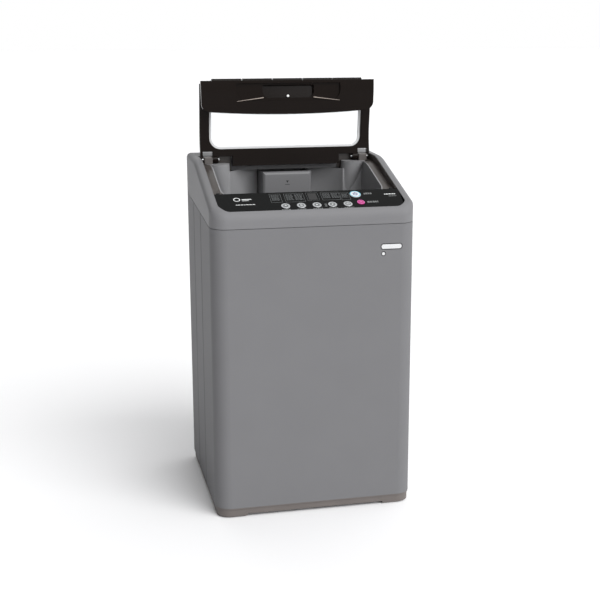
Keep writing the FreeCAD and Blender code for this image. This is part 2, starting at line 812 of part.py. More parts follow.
def suspension_rods():
    rods = []
    for x, y in rod_places():
        shank = rod((x, y, ROD_LOW), 4, ROD_TOP - ROD_LOW)
        cap = rod((x, y, ROD_LOW), 14, 5)
        head = rod((x, y, 756), 9, 8)
        rods.append(fuse(shank, cap, head))
    subpart("suspension_rods", group(*rods))


def coil_spring(x, y):
    """A closed-ended coil as a helix swept by a round wire."""
    coil_radius = 10
    helix = Part.makeHelix(7.5, LUG_LOW - SPRING_LOW - 3.2, coil_radius)
    wire_end = Part.Wire([Part.makeCircle(1.4, Vector(coil_radius, 0, 0), Vector(0, 1, 0.12))])
    spring = DOC.addObject("Part::Feature", "Spring")
    spring.Shape = Part.Wire(helix.Edges).makePipeShell([wire_end], True, True)
    spring.Placement = Placement(Vector(x, y, SPRING_LOW + 1.5), Rotation())
    return spring


def suspension_springs():
    subpart("suspension_springs", group(*[coil_spring(x, y) for x, y in rod_places()]))


# ---------------------------------------------------------------- tub and basket


def outer_tub():
    section = [
        (30, "tub_low"),
        ("tub_radius - 6", "tub_low"),
        ("tub_radius", "tub_low + 6"),
        ("tub_radius", "tub_top"),
        ("tub_radius - 3", "tub_top"),
        ("tub_radius - 3", "tub_low + 8"),
        ("tub_radius - 8", "tub_low + 4"),
        (30, "tub_low + 4"),
    ]
    shell = turned(section)
    bearing_boss = turned([(14.05, 197), (32, 197), (32, 212), (14.05, 212)])
    lugs = []
    for x, y in rod_places():
        angle = math.degrees(math.atan2(y - size("drum_back"), x))
        reach = math.hypot(x, y - size("drum_back"))
        arm = DOC.addObject("Part::Box", "Lug")
        arm.Length = reach + 16 - 224
        arm.Width = 34
        arm.Height = 16
        turn = Rotation(Vector(0, 0, 1), angle)
        centre = Vector(0, size("drum_back"), LUG_LOW)
        arm.Placement = Placement(centre + turn.multVec(Vector(224, -17, 0)), turn)
        lugs.append(cut(arm, rod((x, y, LUG_LOW - 2), 5.5, 22)))
    drain_hole = rod((-100, 80, 190), 12, 30)
    subpart("outer_tub", cut(fuse(shell, bearing_boss, *lugs), drain_hole))


def tub_ring_cover():
    lip = [
        (190, "tub_top"),
        ("tub_radius + 0.2", "tub_top"),
        ("tub_radius + 0.2", "tub_top - 9"),
        ("tub_radius + 3", "tub_top - 9"),
        ("tub_radius + 3", "tub_top + 3"),
        (196, "tub_top + 3"),
        (193, "tub_top + 7"),
        (190, "tub_top + 7"),
    ]
    subpart("tub_ring_cover", turned(lip))


def wash_basket():
    section = [
        (31, "basket_low"),
        ("basket_radius - 8", "basket_low"),
        ("basket_radius", "basket_low + 8"),
        ("basket_radius", 722),
        ("basket_radius - basket_gauge", 722),
        ("basket_radius - basket_gauge", "basket_low + 8"),
        ("basket_radius - 8.3", "basket_low + basket_gauge"),
        (31, "basket_low + basket_gauge"),
    ]
    subpart("wash_basket", turned(section))


def balance_ring():
    section = [
        (184, 726, 5),
        (184, 758, 7),
        ("basket_radius + 2", 758, 5),
        ("basket_radius + 2", 722),
        (196, 722),
    ]
    subpart("balance_ring", turned(section))


def lint_filter():
    frame = rounded(box((-30, 182, 430), (30, 202, 570)), 6, lambda edge: edge.BoundBox.YMax < 182.1)
    pouch = box((-27.5, 184.5, 432.5), (27.5, 203, 567.5))
    basket_bore = rod((0, "drum_back", 400), "basket_radius - 1.4", 300)
    subpart("lint_filter", common(cut(frame, pouch), basket_bore))


def basket_hub():
    section = [
        (14.0, 214),
        (32, 214),
        (40, 226),
        (120, "basket_low - 5"),
        (120, "basket_low"),
        (31, "basket_low"),
        (31, "basket_low + 2"),
        (14.0, "basket_low + 2"),
    ]
    subpart("basket_hub", turned(section))


def spin_shaft():
    subpart("spin_shaft", turned([(8.05, 150), (14, 150), (14, "basket_low + 4"), (8.05, "basket_low + 4")]))


def pulsator():
    disc = turned([
        (8, 243),
        (40, 243),
        (60, 246),
        ("pulsator_radius", 246),
        ("pulsator_radius", 250),
        (60, 256),
        (44, 264),
        (34, 276),
        (18, 281),
        (8, 281),
    ])
    vanes = []
    for number in range(6):
        turn = Rotation(Vector(0, 0, 1), 60 * number)
        vane = DOC.addObject("Part::Wedge", "Vane")
        vane.Xmin, vane.Xmax = 0, 120
        vane.Ymin, vane.Ymax = 0, 16
        vane.Zmin, vane.Zmax = 0, 22
        vane.X2min, vane.X2max = 0, 100
        vane.Z2min, vane.Z2max = 9, 13
        upright = Rotation(Vector(1, 0, 0), 90)
        start = turn.multVec(Vector(40, 11, 249)) + Vector(0, size("drum_back"), 0)
        vane.Placement = Placement(start, turn * upright)
        vanes.append(vane)
    subpart("pulsator", fuse(disc, *vanes))


def pulsator_drive():
    carrier_and_shaft = [(0, 142), (40, 142), (40, 149), (8, 149), (8, 281), (0, 281)]
    subpart("pulsator_shaft", turned(carrier_and_shaft))
    subpart("pulsator_screw", turned([(0, 281), (14, 281), (12, 287), (0, 288)]))


# ---------------------------------------------------------------- drive


def gearbox_housing():
    section = [
        (9, 122),
        (46, 122),
        (55, 130),
        (55, 186),
        (76, 190),
        (76, 193),
        (14.05, 193),
        (14.05, 186),
        (50, 184),
        (50, 132),
        (44, 127),
        (9, 127),
    ]
    subpart("gearbox_housing", turned(section))


def drive_bracket():
    shaft_hole = rod((0, "drum_back", 190), 33, 10)
    drain_hole = rod((-100, 80, 190), 20, 10)
    motor_hole = rod(("motor_offset", "drum_back", 190), 20, 10)
    plate = box((-150, -116, 194), (212, 104, 197))
    subpart("drive_bracket", cut(plate, shaft_hole, drain_hole, motor_hole))


def grooved_wheel(radius, across, bore):
    return turned([
        (bore, 92),
        (f"{radius} + 3", 92),
        (f"{radius} + 3", 94),
        (radius, 97),
        (radius, 107),
        (f"{radius} + 3", 110),
        (f"{radius} + 3", 112),
        (bore, 112),
    ], across=across)


def drive_wheels():
    subpart("drive_pulley", grooved_wheel("pulley_radius - 4", 0, 8))
    subpart("input_shaft", turned([(0, 86), (8, 86), (8, 138), (0, 138)]))
    subpart("motor_pulley", grooved_wheel("motor_pulley_radius - 4", "motor_offset", 6))


def belt_loop(outward):
    """The belt's outline at a distance outside both grooves."""
    span = size("motor_offset")
    large = size("pulley_radius") - 4 + outward
    small = size("motor_pulley_radius") - 4 + outward
    lean = math.acos((large - small) / span)
    middle = Vector(0, size("drum_back"), 0)

    def at(centre, radius, angle):
        return middle + Vector(centre + radius * math.cos(angle), radius * math.sin(angle), 0)

    edges = [
        Part.Arc(at(0, large, lean), at(0, large, math.pi), at(0, large, -lean)).toShape(),
        Part.LineSegment(at(0, large, -lean), at(span, small, -lean)).toShape(),
        Part.Arc(at(span, small, -lean), at(span, small, 0), at(span, small, lean)).toShape(),
        Part.LineSegment(at(span, small, lean), at(0, large, lean)).toShape(),
    ]
    return Part.Face(Part.Wire(edges))


def drive_belt():
    belt = DOC.addObject("Part::Feature", "Belt")
    belt.Shape = belt_loop(5.3).cut(belt_loop(0.3)).extrude(Vector(0, 0, 8))
    belt.Placement = Placement(Vector(0, 0, 98), Rotation())
    subpart("drive_belt", belt)


def motor():
    housing = turned([
        (9, 120),
        (50, 120),
        (58, 126),
        (58, 186),
        (66, 190),
        (66, 193),
        (9, 193),
        (9, 189),
        (52, 187),
        (52, 128),
        (47, 124),
        (9, 124),
    ], across="motor_offset")
    subpart("motor_housing", housing)
    rotor_section = [(0, 88), (6, 88), (6, 132), (34, 132), (34, 180), (6, 180), (6, 188), (0, 188)]
    subpart("motor_rotor", turned(rotor_section, across="motor_offset"))


def motor_capacitor():
    can = rod((-160, 214, 300), 18, 70)
    strap = cut(box((-182, 192, 325), (-138, 237.6, 337)), rod((-160, 214, 320), 18, 30))
    subpart("motor_capacitor", fuse(can, strap))


def drain_valve():
    body = box((-120, 62, 150), (-80, 112, 190))
    neck = rod((-100, 80, 188), 11.7, 20)
    spout = rod((-100, 110, 166), 14, 60, "y")
    actuator = box((-112, 30, 156), (-88, 64, 180))
    subpart("drain_valve", fuse(body, neck, spout, actuator))


# ---------------------------------------------------------------- assembly


def check_document():
    bad = [item.Name for item in DOC.Objects if "Invalid" in item.State or "Error" in item.State]
    if bad:
        raise RuntimeError(f"features that failed: {bad}")
    for label, item in SUBPARTS.items():
        shape = item.Shape
        if shape.isNull() or not shape.isValid() or not shape.Solids:
            raise RuntimeError(f"{label} has no valid solid")


def write_parts():
    os.makedirs("parts", exist_ok=True)
    for label, item in SUBPARTS.items():
        item.Shape.exportStep(f"parts/{label}.step")


fill_sheet()
base_frame()
foot_pads()
levelling_foot()
cabinet_shell()
small_side_pieces()
back_panel()
service_cover()
cabinet_screws()
power_cord_gland()
drain_outlet()
top_cover()
inner_collar()
control_panel_fascia()
display_lens()
control_electronics()
panel_buttons()
lid_seat_trim()
lid_hinges()
lid_bumpers()
lid_rear_frame()
lid_window_parts()
lid_fold_pin()
lid_front_leaf()
lid_latch_cap()
detergent_drawer()
drawer_housing()
water_inlet()
water_level_sensor()
suspension_rods()
suspension_springs()
outer_tub()
tub_ring_cover()
wash_basket()
balance_ring()
lint_filter()
basket_hub()
spin_shaft()
pulsator()
pulsator_drive()
gearbox_housing()
drive_bracket()
drive_wheels()
drive_belt()
motor()
motor_capacitor()
drain_valve()
DOC.recompute()
check_document()
write_parts()
print(len(SUBPARTS), "sub-parts")
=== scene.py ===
"""Looks of a top load washing machine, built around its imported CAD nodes, in metres.

+X is the machine's right seen from the front, +Y its back, +Z up. Flat prints are drawn in millimetres
on a plane whose Y runs up the sloping control panel, and then laid onto it.
"""
import math
import random

import bpy
from mathutils import Matrix, Vector


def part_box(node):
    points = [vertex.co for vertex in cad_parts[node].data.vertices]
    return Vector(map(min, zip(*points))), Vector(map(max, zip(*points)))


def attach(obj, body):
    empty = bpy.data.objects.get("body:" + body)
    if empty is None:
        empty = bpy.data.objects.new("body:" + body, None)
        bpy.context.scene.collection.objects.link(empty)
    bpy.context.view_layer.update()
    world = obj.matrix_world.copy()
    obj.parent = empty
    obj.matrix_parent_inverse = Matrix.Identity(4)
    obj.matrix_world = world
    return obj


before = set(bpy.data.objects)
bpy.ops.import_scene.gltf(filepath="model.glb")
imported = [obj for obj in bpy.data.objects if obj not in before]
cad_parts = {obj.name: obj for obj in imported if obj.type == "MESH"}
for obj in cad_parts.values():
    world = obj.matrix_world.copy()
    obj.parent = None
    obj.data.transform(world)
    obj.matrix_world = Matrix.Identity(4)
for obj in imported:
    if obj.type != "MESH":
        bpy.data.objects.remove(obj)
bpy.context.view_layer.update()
random.seed(7)

MM = 0.001
PANEL_TILT = math.radians(23.9)
PANEL_FOOT = Vector((0, -0.240, 0.832))


# ------------------------------------------------------------------ finishes


def linear(level):
    """A display level from 0 to 255 as a linear value."""
    share = level / 255
    return share / 12.92 if share <= 0.04045 else ((share + 0.055) / 1.055) ** 2.4


def tint(colour, factor):
    """A display colour as a linear one, made lighter or darker."""
    return tuple(linear(level) * factor for level in colour) + (1.0,)


def finish(name, colour, rough, vary=0.06, metallic=0.0, specular=0.5, cloud=9.0, grain=900.0, relief=0.02,
           stretch=(1, 1, 1), transmission=0.0):
    """A surface with clouded colour, uneven gloss and a fine grain in object coordinates."""
    material = bpy.data.materials.new(name)
    material.use_nodes = True
    nodes = material.node_tree.nodes
    links = material.node_tree.links
    shader = nodes["Principled BSDF"]
    shader.inputs["Metallic"].default_value = metallic
    shader.inputs["Specular IOR Level"].default_value = specular
    shader.inputs["Transmission Weight"].default_value = transmission
    place = nodes.new("ShaderNodeTexCoord")
    scale = nodes.new("ShaderNodeMapping")
    scale.inputs["Scale"].default_value = stretch
    links.new(place.outputs["Object"], scale.inputs["Vector"])
    clouds = nodes.new("ShaderNodeTexNoise")
    clouds.inputs["Scale"].default_value = cloud
    clouds.inputs["Detail"].default_value = 4
    links.new(scale.outputs["Vector"], clouds.inputs["Vector"])
    tones = nodes.new("ShaderNodeValToRGB")
    tones.color_ramp.elements[0].position = 0.3
    tones.color_ramp.elements[0].color = tint(colour, 1 - vary)
    tones.color_ramp.elements[1].position = 0.7
    tones.color_ramp.elements[1].color = tint(colour, 1 + vary)
    links.new(clouds.outputs["Fac"], tones.inputs["Fac"])
    links.new(tones.outputs["Color"], shader.inputs["Base Color"])
    gloss = nodes.new("ShaderNodeMapRange")
    gloss.inputs["To Min"].default_value = rough[0]
    gloss.inputs["To Max"].default_value = rough[1]
    links.new(clouds.outputs["Fac"], gloss.inputs["Value"])
    links.new(gloss.outputs["Result"], shader.inputs["Roughness"])
    texture = nodes.new("ShaderNodeTexNoise")
    texture.inputs["Scale"].default_value = grain
    texture.inputs["Detail"].default_value = 2
    links.new(scale.outputs["Vector"], texture.inputs["Vector"])
    bump = nodes.new("ShaderNodeBump")
    bump.inputs["Strength"].default_value = relief
    bump.inputs["Distance"].default_value = 0.001
    links.new(texture.outputs["Fac"], bump.inputs["Height"])
    links.new(bump.outputs["Normal"], shader.inputs["Normal"])
    return material


DRUM_BACK = -0.006
HOLE_COLUMNS = 60
HOLE_PITCH = 0.021
HOLE_RADIUS = 0.0032


def perforated(material):
    """Adds rows of small dark holes round the drum's axis to a finish."""
    nodes = material.node_tree.nodes
    links = material.node_tree.links
    shader = nodes["Principled BSDF"]

    def maths(operation, first, second=None, value=None):
        node = nodes.new("ShaderNodeMath")
        node.operation = operation
        links.new(first, node.inputs[0])
        if second is not None:
            links.new(second, node.inputs[1])
        if value is not None:
            node.inputs[1].default_value = value
        return node.outputs[0]

    place = nodes.new("ShaderNodeTexCoord")
    axes = nodes.new("ShaderNodeSeparateXYZ")
    links.new(place.outputs["Object"], axes.inputs["Vector"])
    depth = maths("ADD", axes.outputs["Y"], value=-DRUM_BACK)
    turn = maths("ARCTAN2", depth, axes.outputs["X"])
    columns = maths("MULTIPLY", turn, value=HOLE_COLUMNS / (2 * math.pi))
    rows = maths("MULTIPLY", axes.outputs["Z"], value=1 / HOLE_PITCH)
    step = maths("MULTIPLY", maths("FLOOR", rows), value=0.5)
    across = maths("SUBTRACT", maths("FRACT", maths("ADD", columns, step)), value=0.5)
    along = maths("SUBTRACT", maths("FRACT", rows), value=0.5)
    away = maths("SQRT", maths("ADD", maths("POWER", across, value=2), maths("POWER", along, value=2)))
    holes = nodes.new("ShaderNodeValToRGB")
    edge = HOLE_RADIUS / HOLE_PITCH
    holes.color_ramp.elements[0].position = edge * 0.85
    holes.color_ramp.elements[0].color = (0.02, 0.02, 0.02, 1)
    holes.color_ramp.elements[1].position = edge * 1.15
    holes.color_ramp.elements[1].color = (1, 1, 1, 1)
    links.new(away, holes.inputs["Fac"])
    blend = nodes.new("ShaderNodeMix")
    blend.data_type = "RGBA"
    blend.blend_type = "MULTIPLY"
    blend.inputs["Factor"].default_value = 1.0
    tones = shader.inputs["Base Color"].links[0].from_socket
    links.new(tones, blend.inputs["A"])
    links.new(holes.outputs["Color"], blend.inputs["B"])
    links.new(blend.outputs["Result"], shader.inputs["Base Color"])
    dent = nodes.new("ShaderNodeBump")
    dent.inputs["Strength"].default_value = 0.5
    dent.inputs["Distance"].default_value = 0.0015
    links.new(holes.outputs["Color"], dent.inputs["Height"])
    links.new(shader.inputs["Normal"].links[0].from_socket, dent.inputs["Normal"])
    links.new(dent.outputs["Normal"], shader.inputs["Normal"])
    return material


FINISHES = {
    "cabinet_paint": finish("grey_paint", (112, 112, 114), (0.5, 0.58), vary=0.015, specular=0.12,
                            grain=1400, relief=0.03),
    "cover_plastic": finish("grey_cover", (115, 115, 117), (0.45, 0.52), vary=0.015, specular=0.2,
                            grain=1600, relief=0.02),
    "collar_plastic": finish("grey_collar", (140, 140, 142), (0.4, 0.5), vary=0.02, grain=1500, relief=0.03),
    "base_plastic": finish("base_grey", (98, 92, 89), (0.45, 0.6), vary=0.05, grain=1200, relief=0.08),
    "galvanised_steel": finish("zinc_sheet", (150, 153, 156), (0.35, 0.5), vary=0.07, metallic=0.9, cloud=70,
                               grain=260, relief=0.04),
    "foot_rubber": finish("black_rubber", (28, 28, 29), (0.65, 0.85), vary=0.2, grain=1500, relief=0.15),
    "black_plastic": finish("black_plastic", (24, 24, 25), (0.35, 0.5), vary=0.12, grain=1300, relief=0.08),
    "panel_gloss": finish("panel_gloss", (9, 10, 10), (0.14, 0.2), vary=0.06, specular=0.05, relief=0.004),
    "smoked_lens": finish("smoked_lens", (9, 9, 10), (0.06, 0.1), vary=0.2, specular=0.35, relief=0.0),
    "circuit_board": finish("board_green", (28, 84, 50), (0.4, 0.6), vary=0.25, cloud=90, relief=0.1),
    "button_silver": finish("silver_cap", (186, 188, 190), (0.2, 0.3), vary=0.05, metallic=0.75, relief=0.02),
    "power_white": finish("white_cap", (206, 213, 217), (0.2, 0.3), vary=0.03, relief=0.01),
    "start_magenta": finish("magenta_cap", (182, 32, 122), (0.2, 0.3), vary=0.08, relief=0.01),
    "lid_brown": finish("lid_brown", (19, 13, 10), (0.12, 0.2), vary=0.08, specular=0.1, relief=0.004),
    "window_clear": finish("clear_window", (247, 249, 250), (0.02, 0.06), vary=0.01, transmission=1.0,
                           relief=0.002),
    "gasket_grey": finish("window_rim_grey", (205, 206, 207), (0.4, 0.55), vary=0.05, relief=0.05),
    "hinge_metal": finish("hinge_steel", (178, 180, 182), (0.2, 0.35), vary=0.08, metallic=1.0, relief=0.05),
    "hinge_grey": finish("hinge_plastic", (84, 80, 78), (0.35, 0.5), vary=0.05, relief=0.05),
    "white_plastic": finish("white_plastic", (222, 223, 221), (0.35, 0.5), vary=0.04, relief=0.05),
    "stainless": finish("stainless", (196, 198, 200), (0.18, 0.32), vary=0.06, metallic=1.0, cloud=30,
                        grain=500, relief=0.03, stretch=(1, 1, 12)),
    "cast_aluminium": finish("cast_aluminium", (160, 162, 165), (0.4, 0.6), vary=0.12, metallic=0.9,
                             grain=700, relief=0.2),
    "motor_steel": finish("motor_steel", (112, 115, 118), (0.35, 0.55), vary=0.12, metallic=0.8,
                          grain=900, relief=0.1),
    "belt_rubber": finish("belt_rubber", (22, 22, 23), (0.6, 0.8), vary=0.2, grain=1400, relief=0.2),
}


drum_steel = perforated(finish("drum_steel", (196, 198, 200), (0.18, 0.32), vary=0.06, metallic=1.0, cloud=30,
                               grain=500, relief=0.03))
seat_brown = finish("seat_brown", (56, 50, 46), (0.25, 0.38), vary=0.08, specular=0.5, relief=0.01)
drawer_grey = finish("drawer_grey", (108, 108, 110), (0.4, 0.5), vary=0.02, grain=1500, relief=0.03)
OWN_FINISHES = {"wash_basket": drum_steel, "lid_seat_trim": seat_brown, "detergent_drawer": drawer_grey}


def dress_nodes():
    """Every CAD node takes the finish of its slot, and a few have a finish of their own."""
    for name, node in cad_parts.items():
        for slot in node.material_slots:
            slot.material = OWN_FINISHES.get(name) or FINISHES[slot.material.name.split(".")[0]]


dress_nodes()


# ------------------------------------------------------------------ new pieces


def alone(active=None):
    """Object mode with nothing but active selected."""
    if bpy.context.object and bpy.context.object.mode != "OBJECT":
        bpy.ops.object.mode_set(mode="OBJECT")
    bpy.ops.object.select_all(action="DESELECT")
    if active:
        active.select_set(True)
        bpy.context.view_layer.objects.active = active


def settle(turn=(0, 0, 0), place=(0, 0, 0)):
    """Turns and moves the active piece, then puts that into its mesh."""
    piece = bpy.context.object
    bpy.ops.object.transform_apply(location=True, rotation=True, scale=True)
    piece.rotation_euler = turn
    piece.location = place
    bpy.ops.object.transform_apply(location=True, rotation=True, scale=True)
    return piece


def bar(x, y, wide, deep, tall, low=0.0):
    """A flat block lying on the drawing plane, in millimetres."""
    alone()
    bpy.ops.mesh.primitive_cube_add(size=MM, location=(x * MM, y * MM, (low + tall / 2) * MM))
    bpy.context.object.scale = (wide, deep, tall)
    bpy.ops.object.transform_apply(location=True, rotation=True, scale=True)
    return bpy.context.object


def disc(x, y, radius, tall, low=0.0, sides=40, turn=0.0):
    """A flat round or many-sided block lying on the drawing plane, in millimetres."""
    alone()
    place = (x * MM, y * MM, (low + tall / 2) * MM)
    bpy.ops.mesh.primitive_cylinder_add(vertices=sides, radius=radius * MM, depth=tall * MM, location=place,
                                        rotation=(0, 0, turn))
    bpy.ops.object.transform_apply(location=True, rotation=True, scale=True)
    return bpy.context.object


def hollow_outline(tall, line):
    """Insets the active flat face, drops its middle and raises what is left."""
    bpy.ops.object.transform_apply(location=True, rotation=True, scale=True)
    bpy.ops.object.mode_set(mode="EDIT")
    bpy.ops.mesh.select_all(action="SELECT")
    bpy.ops.mesh.inset(thickness=line * MM)
    bpy.ops.mesh.delete(type="FACE")
    bpy.ops.mesh.select_all(action="SELECT")
    bpy.ops.mesh.extrude_region_move(TRANSFORM_OT_translate={"value": (0, 0, tall * MM)})
    bpy.ops.mesh.select_all(action="SELECT")
    bpy.ops.mesh.normals_make_consistent(inside=False)
    bpy.ops.object.mode_set(mode="OBJECT")
    return bpy.context.object


def frame_print(x0, y0, x1, y1, tall, line):
    """A thin rectangular outline lying on the drawing plane, in millimetres."""
    alone()
    bpy.ops.mesh.primitive_plane_add(size=MM, location=((x0 + x1) / 2 * MM, (y0 + y1) / 2 * MM, 0))
    bpy.context.object.scale = (x1 - x0, y1 - y0, 1)
    return hollow_outline(tall, line)


def ring_print(x, y, radius, tall, line, low=0.0):
    """A thin ring lying on the drawing plane, in millimetres."""
    alone()
    bpy.ops.mesh.primitive_circle_add(vertices=48, radius=radius * MM, fill_type="NGON",
                                      location=(x * MM, y * MM, low * MM))
    return hollow_outline(tall, line)


def pick(piece, kind, wanted):
    """Edit mode on a piece with its faces or edges that pass the test selected."""
    alone(piece)
    bpy.ops.object.mode_set(mode="EDIT")
    bpy.ops.mesh.select_mode(type=kind)
    bpy.ops.mesh.select_all(action="DESELECT")
    bpy.ops.object.mode_set(mode="OBJECT")
    for item in piece.data.polygons if kind == "FACE" else piece.data.edges:
        item.select = wanted(item)
    bpy.ops.object.mode_set(mode="EDIT")


def round_corners(plate, radius):
    """Rounds the four edges that run through a plate's thickness, along Y."""
    corners = plate.data.vertices

    def runs_through(edge):
        run = corners[edge.vertices[0]].co - corners[edge.vertices[1]].co
        return abs(run.y) > 0.9 * run.length

    pick(plate, "EDGE", runs_through)
    bpy.ops.mesh.bevel(offset=radius * MM, segments=6, affect="EDGES")
    bpy.ops.object.mode_set(mode="OBJECT")


def joined(name, parts, material, body):
    """One named piece out of its parts, riding a body."""
    alone(parts[0])
    for part in parts:
        part.select_set(True)
    if len(parts) > 1:
        bpy.ops.object.join()
    piece = bpy.context.object
    piece.name = piece.data.name = name
    piece.data.materials.clear()
    piece.data.materials.append(material)
    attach(piece, body)


def on_panel(parts):
    """Lays flat parts onto the sloping control panel."""
    for part in parts:
        alone(part)
        settle((PANEL_TILT, 0, 0), PANEL_FOOT)
    return parts


# the thickness of ink, and the places and sizes of the prints, in millimetres
PRINT = 0.12
DASH_LENGTHS = (3, 7)
SHORTEST_DASH = 2
DASH_GAP = 1.4
KEYS = {
    "water_level": (-73, 26.3), "delay": (-31, 26.3), "program": (11, 26.3), "rinse": (53, 26.3),
    "spin": (95, 26.3), "power": (126, 73.3), "start": (132, 32.8),
}
SILVER_KEYS = list(KEYS)[:5]
KEY_RADIUS = 12
KEY_RISE = 1.6
# thickness of the grey disc that is painted shade in a silver key's dished centre
DISH_SHADE_THICKNESS = 0.1
WHITE_INK = finish("white_ink", (226, 228, 228), (0.3, 0.4), vary=0.06, cloud=300, relief=0.01)
PALE_INK = finish("pale_ink", (146, 148, 148), (0.3, 0.4), vary=0.06, cloud=300, relief=0.01)
# grey ink for outlines and label rows, also used as painted shade in the silver keys' dished centres
GREY_INK_AND_PAINTED_SHADE = finish("grey_ink_and_painted_shade", (98, 101, 102), (0.35, 0.45), vary=0.08, cloud=300, relief=0.01)
CYAN_INK = finish("cyan_ink", (60, 178, 205), (0.25, 0.35), vary=0.06, cloud=300, relief=0.01)
BLUE_INK = finish("blue_ink", (16, 40, 118), (0.25, 0.35), vary=0.06, cloud=300, relief=0.01)
PINK_INK = finish("pink_ink", (205, 120, 180), (0.25, 0.35), vary=0.06, cloud=300, relief=0.01)
# light brown that is a painted highlight: the glint on the glossy lip of the lid's finger recess
HIGHLIGHT_BROWN = finish("painted_highlight_brown", (150, 139, 130), (0.2, 0.3), vary=0.06, cloud=60, relief=0.005)
CHROME = finish("badge_chrome", (224, 225, 226), (0.12, 0.2), vary=0.04, metallic=0.9, cloud=200, relief=0.01)


def text_rows(x0, x1, y, rows, pitch=4.2, tall=1.5):
    """Rows of short dashes that stand for small print."""
    parts = []
    for row in range(rows):
        left = x0
        while left < x1 - SHORTEST_DASH:
            wide = min(random.uniform(*DASH_LENGTHS), x1 - left)
            parts.append(bar(left + wide / 2, y - row * pitch, wide, tall, PRINT))
            left += wide + DASH_GAP
    return parts


def panel_prints():
    """The control panel's dashes, outlines and generic mark."""
    pale = []
    grey = [
        frame_print(-107, 46, -77, 88, PRINT, 0.7), frame_print(-68, 46, -15, 88, PRINT, 0.7),
        frame_print(32, 50, 82, 88, PRINT, 0.7), frame_print(84, 48, 109, 84, PRINT, 0.7),
        frame_print(-8, 50, 24, 90, PRINT, 0.5),
    ]
    for x0, x1, y, rows in ((-103, -82, 82, 7), (-64, -44, 82, 7), (-40, -19, 82, 7), (36, 56, 82, 6),
                            (60, 79, 82, 6), (88, 105, 78, 5)):
        grey += text_rows(x0, x1, y, rows)
    for x, y in [KEYS[name] for name in SILVER_KEYS]:
        pale += text_rows(x - 13, x + 13, y - KEY_RADIUS - 4, 1, tall=1.6)
    pale += text_rows(150, 172, 78, 2, tall=2) + text_rows(150, 180, 36, 2, tall=2)
    pale += text_rows(32, 38, 30, 3, pitch=5) + text_rows(216, 238, 60, 1)
    white = text_rows(206, 240, 70, 1, tall=4)
    white += [ring_print(-196, 66, 9, PRINT, 2.2), bar(-170, 66, 26, 3, PRINT), bar(-174, 60, 18, 2, PRINT)]
    white += text_rows(-202, -150, 40, 1, tall=2.4)
    joined("panel_marks", on_panel(white), WHITE_INK, "cabinet")
    joined("panel_captions", on_panel(pale), PALE_INK, "cabinet")
    joined("panel_outlines", on_panel(grey), GREY_INK_AND_PAINTED_SHADE, "cabinet")


def key_sign(name, x, y):
    """The simple generic sign of one silver key."""
    low = KEY_RISE + DISH_SHADE_THICKNESS
    if name == "water_level":
        return [bar(x, y, 6, 1.6, PRINT, low), bar(x, y + 2.6, 4, 1, PRINT, low)]
    if name == "delay":
        return [ring_print(x, y, 3.6, PRINT, 0.9, low), bar(x, y, 0.9, 3.4, PRINT, low)]
    if name == "program":
        return [disc(x, y, 3.4, PRINT, low, 3)]
    if name == "rinse":
        return [disc(x, y, 2.4, PRINT, low)]
    return [ring_print(x, y, 3.8, PRINT, 1.3, low)]


def key_faces():
    """Grey discs painted as the shade in the keys' dished centres, and simple signs on the pressed faces of
    the keys.
    """
    for name in SILVER_KEYS:
        x, y = KEYS[name]
        body = name + "_key"
        # a grey disc painted as the shade in the key's dished centre
        joined(name + "_painted_dish_shade", on_panel([disc(x, y, 7.4, DISH_SHADE_THICKNESS, KEY_RISE)]), GREY_INK_AND_PAINTED_SHADE, body)
        joined(name + "_sign", on_panel(key_sign(name, x, y)), WHITE_INK, body)
    x, y = KEYS["power"]
    rim = ring_print(x, y, 14.3, PRINT, 1.7, KEY_RISE)
    joined("power_ring", on_panel([rim]), CYAN_INK, "power_key")
    sign = [ring_print(x, y, 6.4, PRINT, 2.2, KEY_RISE), bar(x, y + 4, 2.2, 7, 2 * PRINT, KEY_RISE)]
    joined("power_sign", on_panel(sign), BLUE_INK, "power_key")
    x, y = KEYS["start"]
    sign = [ring_print(x, y, 9.6, PRINT, 0.9, KEY_RISE), disc(x, y, 3, PRINT, KEY_RISE, 3)]
    joined("start_sign", on_panel(sign), PINK_INK, "start_key")


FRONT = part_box("cabinet_shell")[0].y
BADGE_X, BADGE_Z = 0.206, 0.731
STUD_X, STUD_Z = 0.184, 0.712
# how far the black plates stand out; they are painted shadow round the badge
SHADOW_RIM_PROUD = 0.05
FACE_PROUD = 0.1


def front_pill(wide, tall, proud):
    """A thin plate with round ends on the cabinet's front."""
    alone()
    bpy.ops.mesh.primitive_cube_add(size=MM, location=(BADGE_X, FRONT + (0.5 - proud) * MM, BADGE_Z))
    bpy.context.object.scale = (wide, 1, tall)
    plate = settle()
    round_corners(plate, 0.42 * tall)
    return plate


def front_stud(radius, proud):
    """A thin round plate below the pill's left end."""
    alone()
    bpy.ops.mesh.primitive_cylinder_add(vertices=40, radius=radius * MM, depth=MM,
                                        location=(STUD_X, FRONT + (0.5 - proud) * MM, STUD_Z),
                                        rotation=(math.radians(90), 0, 0))
    return settle()


def front_badge():
    """A plain bright bar and stud near the front's upper corner, each on a slightly larger black plate that
    is painted shadow round it.
    """
    # black plates a little larger than the bright face: painted shadow round the badge
    shadow_rim = [front_pill(60, 17, SHADOW_RIM_PROUD), front_stud(6.5, SHADOW_RIM_PROUD)]
    joined("badge_painted_shadow", shadow_rim, FINISHES["black_plastic"], "cabinet")
    face = [front_pill(55, 12, FACE_PROUD), front_stud(4.2, FACE_PROUD)]
    joined("badge_face", face, CHROME, "cabinet")


LABEL_X, LABEL_Z = -0.12, 0.6
PAPER = 0.2


